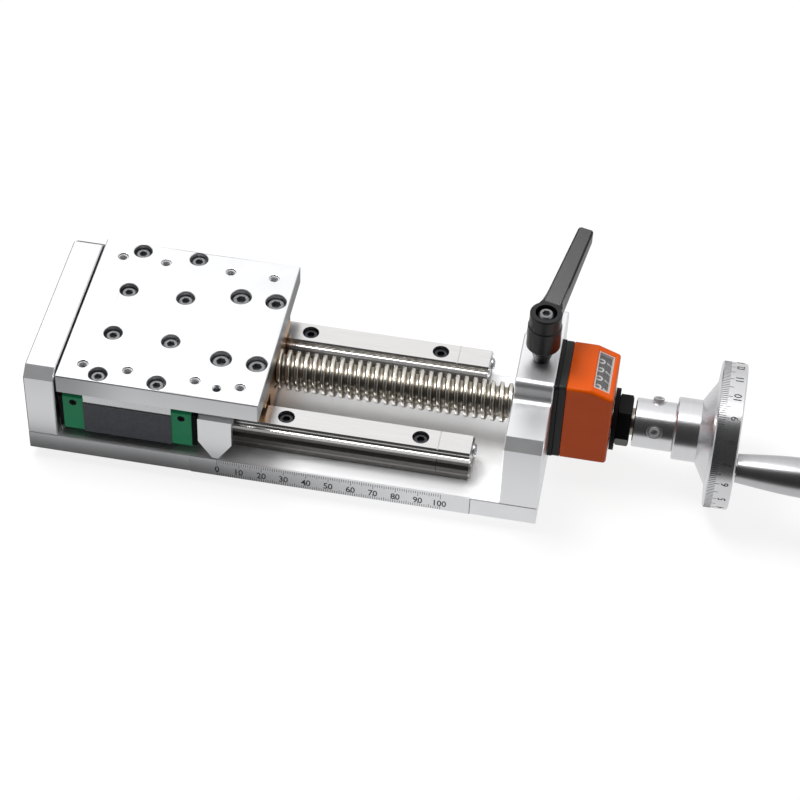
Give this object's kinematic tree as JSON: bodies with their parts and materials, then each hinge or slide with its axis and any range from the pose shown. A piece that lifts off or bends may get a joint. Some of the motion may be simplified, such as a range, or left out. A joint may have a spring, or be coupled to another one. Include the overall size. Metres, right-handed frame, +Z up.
{
  "type": "cross slide module",
  "caption": "Manual linear slide: handwheel and drive screw move a square table on two profile rails, with a position counter and a clamp lever.",
  "frame": {"origin": "centre of the base plate's bottom face", "axes": "+X along the travel towards the handwheel, +Y to the back, +Z up"},
  "size_m": [0.3623, 0.09, 0.1025],
  "materials": {
    "anodised_aluminium": "satin clear anodised",
    "scale_aluminium": "bright satin with engraved black marks",
    "ground_steel": "ground and polished",
    "dark_carriage_steel": "black finish with a ground light band",
    "green_plastic": "moulded, slightly glossy",
    "black_rubber": "matt",
    "black_oxide_steel": "black oxide",
    "bright_screw_steel": "zinc plated",
    "bronze": "machined",
    "orange_plastic": "glossy moulded",
    "black_plastic": "matt moulded",
    "grey_plastic": "matt moulded",
    "pale_plastic": "matt moulded",
    "clear_plastic": "clear",
    "turned_aluminium": "turned, satin",
    "lever_black": "black powder coat",
    "brass": "turned"
  },
  "bodies": {
    "base": {"base_plate": "anodised_aluminium", "travel_scale": "scale_aluminium", "left_end_block": "anodised_aluminium", "right_end_block": "anodised_aluminium", "end_block_screws": "black_oxide_steel", "front_rail": "ground_steel", "back_rail": "ground_steel", "rail_screws": "black_oxide_steel", "front_rail_end_piece": "ground_steel", "back_rail_end_piece": "ground_steel", "rail_end_screws": "bright_screw_steel", "bearing_outer_rings": "ground_steel", "bearing_balls": "ground_steel", "counter_adapter_plate": "black_plastic", "counter_back_cover": "grey_plastic", "counter_housing": "orange_plastic", "counter_window_frame": "pale_plastic", "counter_window": "clear_plastic", "counter_screws": "black_oxide_steel", "number_wheel_shaft": "ground_steel"},
    "spindle": {"lead_screw": "ground_steel", "bearing_inner_rings": "ground_steel", "spindle_spacer": "ground_steel", "counter_hollow_shaft": "turned_aluminium", "counter_disc": "black_oxide_steel", "spindle_nut": "black_oxide_steel", "wheel_collar": "turned_aluminium", "collar_set_screws": "black_oxide_steel", "handwheel": "turned_aluminium", "handwheel_screw": "bright_screw_steel", "handle_pivot": "ground_steel"},
    "grip": {"handle_grip": "turned_aluminium"},
    "table": {"table_plate": "anodised_aluminium", "front_carriage": "dark_carriage_steel", "back_carriage": "dark_carriage_steel", "front_left_end_cap": "green_plastic", "front_right_end_cap": "green_plastic", "back_left_end_cap": "green_plastic", "back_right_end_cap": "green_plastic", "front_left_seal": "black_rubber", "front_right_seal": "black_rubber", "back_left_seal": "black_rubber", "back_right_seal": "black_rubber", "table_screws": "bright_screw_steel", "nut_screws": "bright_screw_steel", "lead_nut": "bronze", "pointer": "anodised_aluminium", "pointer_cap_screw": "black_oxide_steel"},
    "tenths_wheel": {"number_wheel_tenths": "black_plastic"},
    "units_wheel": {"number_wheel_units": "black_plastic"},
    "tens_wheel": {"number_wheel_tens": "black_plastic"},
    "hundreds_wheel": {"number_wheel_hundreds": "black_plastic"},
    "clamp_pad": {"clamp_pad": "brass"},
    "clamp_stud": {"clamp_stud": "black_oxide_steel", "lever_cap_screw": "black_oxide_steel", "lever_spring": "black_oxide_steel"},
    "lever": {"lever_handle": "lever_black"}
  },
  "joints": [
    {"name": "screw_spin", "type": "hinge", "parent": "base", "child": "spindle", "pos_m": [0, 0, 0.0266], "axis": [-1, 0, 0], "range_deg": [0, 9000]},
    {"name": "table_slide", "type": "slide", "parent": "base", "child": "table", "axis": [1, 0, 0], "range_m": [0, 0.1]},
    {"name": "grip_spin", "type": "hinge", "parent": "spindle", "child": "grip", "pos_m": [0.1966, -0.02401, 0.03241], "axis": [1, 0, 0], "continuous": true},
    {"name": "tenths_spin", "type": "hinge", "parent": "base", "child": "tenths_wheel", "pos_m": [0.13087, 0, 0.04609], "axis": [0, -1, 0], "range_deg": [0, 36000]},
    {"name": "units_spin", "type": "hinge", "parent": "base", "child": "units_wheel", "pos_m": [0.13087, 0, 0.04609], "axis": [0, -1, 0], "range_deg": [0, 3600]},
    {"name": "tens_spin", "type": "hinge", "parent": "base", "child": "tens_wheel", "pos_m": [0.13087, 0, 0.04609], "axis": [0, -1, 0], "range_deg": [0, 360]},
    {"name": "hundreds_spin", "type": "hinge", "parent": "base", "child": "hundreds_wheel", "pos_m": [0.13087, 0, 0.04609], "axis": [0, -1, 0], "range_deg": [0, 36]},
    {"name": "pad_slide", "type": "slide", "parent": "base", "child": "clamp_pad", "axis": [0, 0, 1], "range_m": [-0.00025, 0.00025]},
    {"name": "clamp_turn", "type": "hinge", "parent": "clamp_pad", "child": "clamp_stud", "pos_m": [0.1065, 0, 0.057], "axis": [0, 0, 1], "range_deg": [-90, 90]},
    {"name": "lever_lift", "type": "slide", "parent": "clamp_stud", "child": "lever", "axis": [0, 0, 1], "range_m": [0, 0.003], "stiffness_N_per_m": 600, "springref_m": -0.002, "deforming": ["lever_spring"]}
  ],
  "couplings": [
    {"joint": "table_slide", "follows": "screw_spin", "m_per_rad": 0.00063662},
    {"joint": "tenths_spin", "follows": "screw_spin", "ratio": 4},
    {"joint": "units_spin", "follows": "screw_spin", "ratio": 0.4},
    {"joint": "tens_spin", "follows": "screw_spin", "ratio": 0.04},
    {"joint": "hundreds_spin", "follows": "screw_spin", "ratio": 0.004},
    {"joint": "pad_slide", "follows": "clamp_turn", "m_per_rad": 0.00015915}
  ]
}
